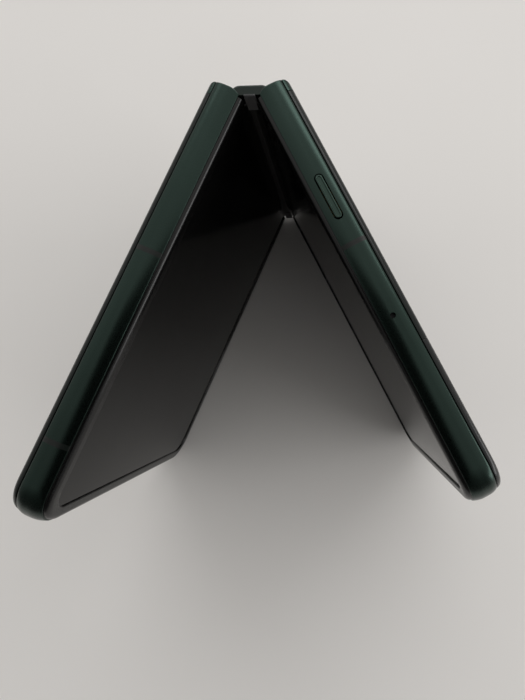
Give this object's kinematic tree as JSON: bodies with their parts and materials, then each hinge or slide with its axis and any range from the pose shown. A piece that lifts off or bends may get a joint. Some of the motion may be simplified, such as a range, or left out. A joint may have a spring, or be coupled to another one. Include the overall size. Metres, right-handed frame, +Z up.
{
  "type": "foldable smartphone",
  "caption": "Pocket telephone with a bendable screen, two thin halves on a rounded hinge, standing on one long edge half folded.",
  "frame": {"origin": "centre of the bounding box, on the surface the phone stands on", "axes": "+Z up, along the fold; +Y from the free ends towards the hinge; +X towards the half that carries the power key"},
  "size_m": [0.0836, 0.077, 0.0724],
  "materials": {
    "frame_metal": "satin, anodised dark green",
    "key_metal": "satin, anodised dark green",
    "cover_metal": "gloss, anodised dark green",
    "band_plastic": "satin",
    "back_glass": "satin, coated behind",
    "cover_glass": "gloss, coated behind",
    "screen_film": "gloss, bendable screen film",
    "screen_glass": "gloss",
    "rim_plastic": "satin",
    "cap_plastic": "satin",
    "steel": "brushed",
    "plate_steel": "brushed",
    "cell_foil": "matt, wrapped foil pouch",
    "board": "satin",
    "shield_steel": "brushed",
    "copper": "satin, copper winding",
    "lens_glass": "gloss",
    "flash_glass": "gloss",
    "ring_metal": "satin",
    "module_black": "matt",
    "mesh_steel": "matt, fine mesh",
    "switch_gold": "satin",
    "tongue_plastic": "satin"
  },
  "bodies": {
    "spine": {"hinge_cover": "cover_metal", "hinge_module_top": "steel", "hinge_module_bottom": "steel", "hinge_bar": "steel", "hinge_screws": "steel", "display_fold": "screen_film"},
    "fold_carrier": {"fold_plate": "plate_steel", "fold_cap_top": "cap_plastic", "fold_cap_bottom": "cap_plastic"},
    "upper_half": {"upper_frame": "frame_metal", "upper_back_glass": "back_glass", "cover_window": "cover_glass", "upper_rim": "rim_plastic", "upper_display": "screen_film", "upper_display_plate": "plate_steel", "upper_wing_plate": "plate_steel", "upper_arm_top": "steel", "upper_arm_bottom": "steel", "upper_antenna_bands": "band_plastic", "upper_battery": "cell_foil", "main_board": "board", "main_shield": "shield_steel", "cover_display": "screen_glass", "camera_ring_main": "ring_metal", "camera_ring_wide": "ring_metal", "camera_lens_main": "lens_glass", "camera_lens_wide": "lens_glass", "camera_module_main": "module_black", "camera_module_wide": "module_black", "flash_lens": "flash_glass", "front_camera": "lens_glass", "earpiece_mesh": "mesh_steel", "upper_mic_mesh": "mesh_steel", "power_switch": "switch_gold", "volume_switch": "switch_gold"},
    "power_key": {"power_key": "key_metal"},
    "volume_rocker": {"volume_rocker": "key_metal"},
    "lower_half": {"lower_frame": "frame_metal", "lower_back_glass": "back_glass", "lower_rim": "rim_plastic", "lower_display": "screen_film", "lower_display_plate": "plate_steel", "lower_wing_plate": "plate_steel", "lower_arm_top": "steel", "lower_arm_bottom": "steel", "lower_antenna_bands": "band_plastic", "lower_battery": "cell_foil", "sub_board": "board", "charging_coil": "copper", "usb_shell": "steel", "usb_tongue": "tongue_plastic", "loudspeaker": "module_black", "speaker_mesh": "mesh_steel", "lower_mic_mesh": "mesh_steel", "sim_socket": "shield_steel", "vibration_motor": "steel"},
    "sim_tray": {"sim_tray": "key_metal"}
  },
  "joints": [
    {"name": "fold_upper", "type": "hinge", "parent": "spine", "child": "upper_half", "pos_m": [0.0018, 0.03464, 0.0361], "axis": [0, 0, 1], "range_deg": [-25.1, 64.9]},
    {"name": "fold_lower", "type": "hinge", "parent": "spine", "child": "lower_half", "pos_m": [-0.0018, 0.03464, 0.0361], "axis": [0, 0, -1], "range_deg": [-25.1, 64.9]},
    {"name": "fold_carrier_slide", "type": "slide", "parent": "spine", "child": "fold_carrier", "axis": [0, 1, 0], "range_m": [-0.00114, 0.00045], "deforming": ["display_fold"]},
    {"name": "power_key_press", "type": "slide", "parent": "upper_half", "child": "power_key", "axis": [0, 0, -1], "range_m": [0, 0.0003], "stiffness_N_per_m": 1500, "springref_m": -0.0002},
    {"name": "volume_rocker_press", "type": "slide", "parent": "upper_half", "child": "volume_rocker", "axis": [0, 0, 1], "range_m": [0, 0.0003], "stiffness_N_per_m": 1500, "springref_m": -0.0002},
    {"name": "sim_tray_slide", "type": "slide", "parent": "lower_half", "child": "sim_tray", "axis": [-0.4242, -0.9056, 0], "range_m": [0, 0.016]}
  ],
  "couplings": [
    {"joint": "fold_lower", "follows": "fold_upper", "ratio": 1},
    {"joint": "fold_carrier_slide", "follows": "fold_upper", "m_per_rad": -0.001}
  ]
}
